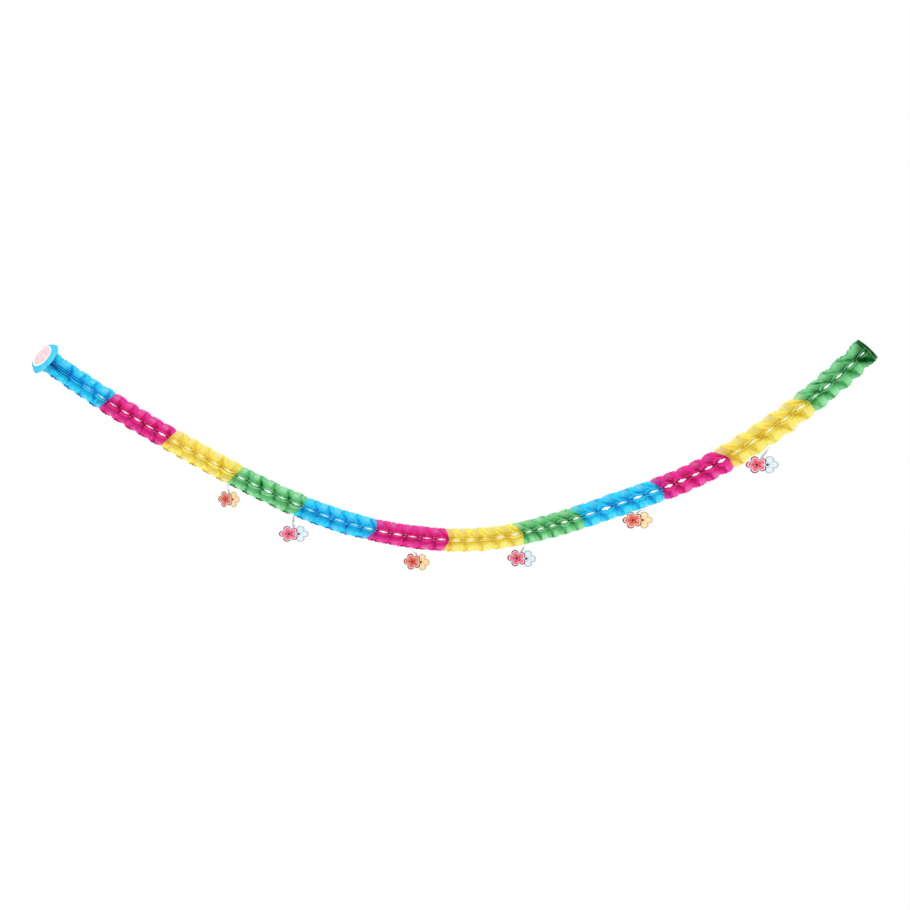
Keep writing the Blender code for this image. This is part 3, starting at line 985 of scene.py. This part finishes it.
class GARLAND_OT_flower_cards(bpy.types.Operator):
    """Build the six die-cut flower cards"""

    bl_idname = "garland.flower_cards"
    bl_label = "Flower cards"

    def execute(self, context):
        settings = context.scene.garland_cards
        tube = TubeLine()
        board = board_material("uncoated_flower_board", settings.board)
        red = flower_print_material(
            "coated_card_red_flowers",
            settings,
            ("#4A0A1E", "#C9322E", "#E8806A", "#F9DCD2", "#84202A"),
            ("#4A1A1E", "#F1D6A4", "#E6B878", "#C9A878"),
        )
        pink = flower_print_material(
            "coated_card_pink_flowers",
            settings,
            ("#4A0A1E", "#CF2C50", "#EC8098", "#FADCE4", "#8A1C3C"),
            ("#4A2A3E", "#D6E2E9", "#BDD0DC", "#A3B4C2"),
        )
        prints = (("red_flower_card", red), ("pink_flower_card", pink))
        for number, (plane, swing, drop, yaw) in enumerate(FLOWER_CARDS):
            bm = bmesh.new()
            bmesh.ops.create_circle(bm, cap_ends=True, segments=FLOWER_SEGMENTS, radius=1.0)
            for vert in bm.verts:
                angle = math.atan2(vert.co.y, vert.co.x)
                reach = petal_reach(settings, angle - math.pi)
                across = reach * math.cos(angle) * settings.stretch - settings.spacing / 2
                vert.co = (across, 0.0, reach * math.sin(angle))
            everything = bm.verts[:] + bm.edges[:] + bm.faces[:]
            bmesh.ops.bisect_plane(
                bm, geom=everything, plane_co=(0, 0, 0), plane_no=(1, 0, 0), clear_outer=True
            )
            everything = bm.verts[:] + bm.edges[:] + bm.faces[:]
            bmesh.ops.mirror(
                bm, geom=everything, matrix=Matrix.Identity(4), merge_dist=SAME_SPOT, axis="X"
            )
            bmesh.ops.dissolve_faces(bm, faces=bm.faces[:])
            thicken(bm, (0, 1, 0))
            bmesh.ops.recalc_face_normals(bm, faces=bm.faces)
            layer = bm.loops.layers.uv.new("print")
            for face in bm.faces:
                face.material_index = 1 if face.normal.y < -0.5 else 0
                for loop in face.loops:
                    place = loop.vert.co / PRINT_WIDTH
                    loop[layer].uv = (0.5 + place.x, 0.5 + place.z)
            turned = Matrix.Rotation(math.radians(yaw), 4, "Z")
            toward_viewer = turned.to_3x3() @ Vector((0, -1, 0))
            root = tube.axes(tube.planes[plane])[0]
            turned.translation = root + Vector((swing, 0, -drop)) + toward_viewer * CARD_THICKNESS
            bmesh.ops.transform(bm, matrix=turned, verts=bm.verts)
            slot, face_print = prints[number % 2]
            faces = [board, face_print]
            item = finish_mesh(bm, f"flower_print_{number + 1}", faces, smooth=False)
            dress(item, slot, f"flower_card_{number + 1}")
        return {"FINISHED"}


class GARLAND_OT_hanger_strips(bpy.types.Operator):
    """Give the hanger strips their clear film"""

    bl_idname = "garland.hanger_strips"
    bl_label = "Hanger strips"

    def execute(self, context):
        # Clear polyester film: bright along its bends, faint grey-lilac where it is seen flat
        material, tree, surface = new_material("clear_polyester_film")
        # Hairline scuffs about 3 mm apart
        place = node(tree, "ShaderNodeTexCoord").outputs["Object"]
        scuffs = noise_share(tree, place, 330.0, 2.0)
        links = {"Value": scuffs, "To Min": 0.08, "To Max": 0.3}
        rough = node(tree, "ShaderNodeMapRange", links=links)
        film = node(
            tree,
            "ShaderNodeBsdfPrincipled",
            links={
                "Base Color": linear("#B6B8C6"),
                "Roughness": rough.outputs["Result"],
                "IOR": 1.6,
                "Alpha": 0.7,
            },
        )
        tree.links.new(film.outputs["BSDF"], surface)
        for number in range(len(FLOWER_CARDS)):
            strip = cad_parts[f"hanger_strip_{number + 1}"]
            strip.data.materials.clear()
            strip.data.materials.append(material)
        return {"FINISHED"}


# The floor's half side, its middle along the span and how brightly it glows to the camera
FLOOR_SIZE = 40.0
FLOOR_MIDDLE = 2.0
FLOOR_GLOW = 0.8
# Where the key light shines to, and how wide its disc is in degrees
KEY_DIRECTION = (-0.45, 0.8, -0.5)
KEY_WIDTH = 14.0
# The camera's lens and sensor in millimetres and its turn in degrees, as fitted to the photo
LENS = 47.87
SENSOR_WIDTH = 36.0
CAMERA_TURN = 11.0


def seen_share(tree):
    """1 for a ray from the camera, also one through film or off a gloss, and 0 for any other."""
    path = node(tree, "ShaderNodeLightPath")
    seen = maths(tree, "MAXIMUM", path.outputs["Is Camera Ray"], path.outputs["Is Glossy Ray"])
    return maths(tree, "MAXIMUM", seen, path.outputs["Is Transmission Ray"])


class GARLAND_OT_stage(bpy.types.Operator):
    """Set the floor, the light and the camera"""

    bl_idname = "garland.stage"
    bl_label = "Stage"

    def execute(self, context):
        settings = context.scene.garland_stage
        scene = context.scene
        scene.view_settings.view_transform = "Standard"

        bm = bmesh.new()
        bmesh.ops.create_grid(bm, x_segments=4, y_segments=4, size=FLOOR_SIZE)
        bmesh.ops.translate(bm, verts=bm.verts, vec=(FLOOR_MIDDLE, 0.0, settings.floor_height))
        # Matt white paint, lit up for the camera so that the floor and the room are one white
        material, tree, surface = new_material("painted_studio_floor")
        glow_share = maths(tree, "MULTIPLY", seen_share(tree), FLOOR_GLOW)
        paint = node(tree, "ShaderNodeBsdfDiffuse", links={"Color": settings.floor})
        glow = node(tree, "ShaderNodeEmission", links={"Strength": 1.0})
        tree.links.new(mix_shaders(tree, glow_share, paint, glow), surface)
        finish_mesh(bm, "studio_floor", [material], smooth=False)

        world = bpy.data.worlds.new("studio_room")
        scene.world = world
        world.use_nodes = True
        tree = world.node_tree
        tree.nodes.clear()
        white = linear("#FFFFFF")
        fill, backdrop = (
            node(tree, "ShaderNodeBackground", links={"Color": white, "Strength": strength})
            for strength in (settings.fill_strength, 1.0)
        )
        room = node(tree, "ShaderNodeOutputWorld")
        mixed = mix_shaders(tree, seen_share(tree), fill, backdrop)
        tree.links.new(mixed, room.inputs["Surface"])

        sun = bpy.data.lights.new("key_light", "SUN")
        sun.energy = settings.key_strength
        sun.angle = math.radians(KEY_WIDTH)
        lamp = bpy.data.objects.new("key_light", sun)
        lamp.rotation_mode = "QUATERNION"
        lamp.rotation_quaternion = Vector(KEY_DIRECTION).to_track_quat("-Z", "Y")
        scene.collection.objects.link(lamp)

        lens = bpy.data.cameras.new("camera")
        lens.lens = LENS
        lens.sensor_width = SENSOR_WIDTH
        camera = bpy.data.objects.new("camera", lens)
        camera.location = SEEN_FROM
        camera.rotation_euler = (math.radians(90), 0.0, math.radians(CAMERA_TURN))
        scene.collection.objects.link(camera)
        scene.camera = camera
        return {"FINISHED"}


PIECES = (
    GARLAND_OT_tissue,
    GARLAND_OT_end_cards,
    GARLAND_OT_flower_cards,
    GARLAND_OT_hanger_strips,
    GARLAND_OT_stage,
)


class GARLAND_PT_panel(bpy.types.Panel):
    """Lists the garland's pieces"""

    bl_idname = "GARLAND_PT_panel"
    bl_label = "Paper garland"
    bl_space_type = "VIEW_3D"
    bl_region_type = "UI"
    bl_category = "Garland"

    def draw(self, context):
        for piece in PIECES:
            self.layout.operator(piece.bl_idname)


CLASSES = (TissueSettings, CardSettings, StageSettings, *PIECES, GARLAND_PT_panel)


def register():
    for item in CLASSES:
        bpy.utils.register_class(item)
    bpy.types.Scene.garland_tissue = PointerProperty(type=TissueSettings)
    bpy.types.Scene.garland_cards = PointerProperty(type=CardSettings)
    bpy.types.Scene.garland_stage = PointerProperty(type=StageSettings)


def unregister():
    del bpy.types.Scene.garland_stage
    del bpy.types.Scene.garland_cards
    del bpy.types.Scene.garland_tissue
    for item in reversed(CLASSES):
        bpy.utils.unregister_class(item)


def main():
    register()
    bpy.ops.garland.tissue()
    bpy.ops.garland.end_cards()
    bpy.ops.garland.flower_cards()
    bpy.ops.garland.hanger_strips()
    bpy.ops.garland.stage()


if __name__ == "__main__":
    main()
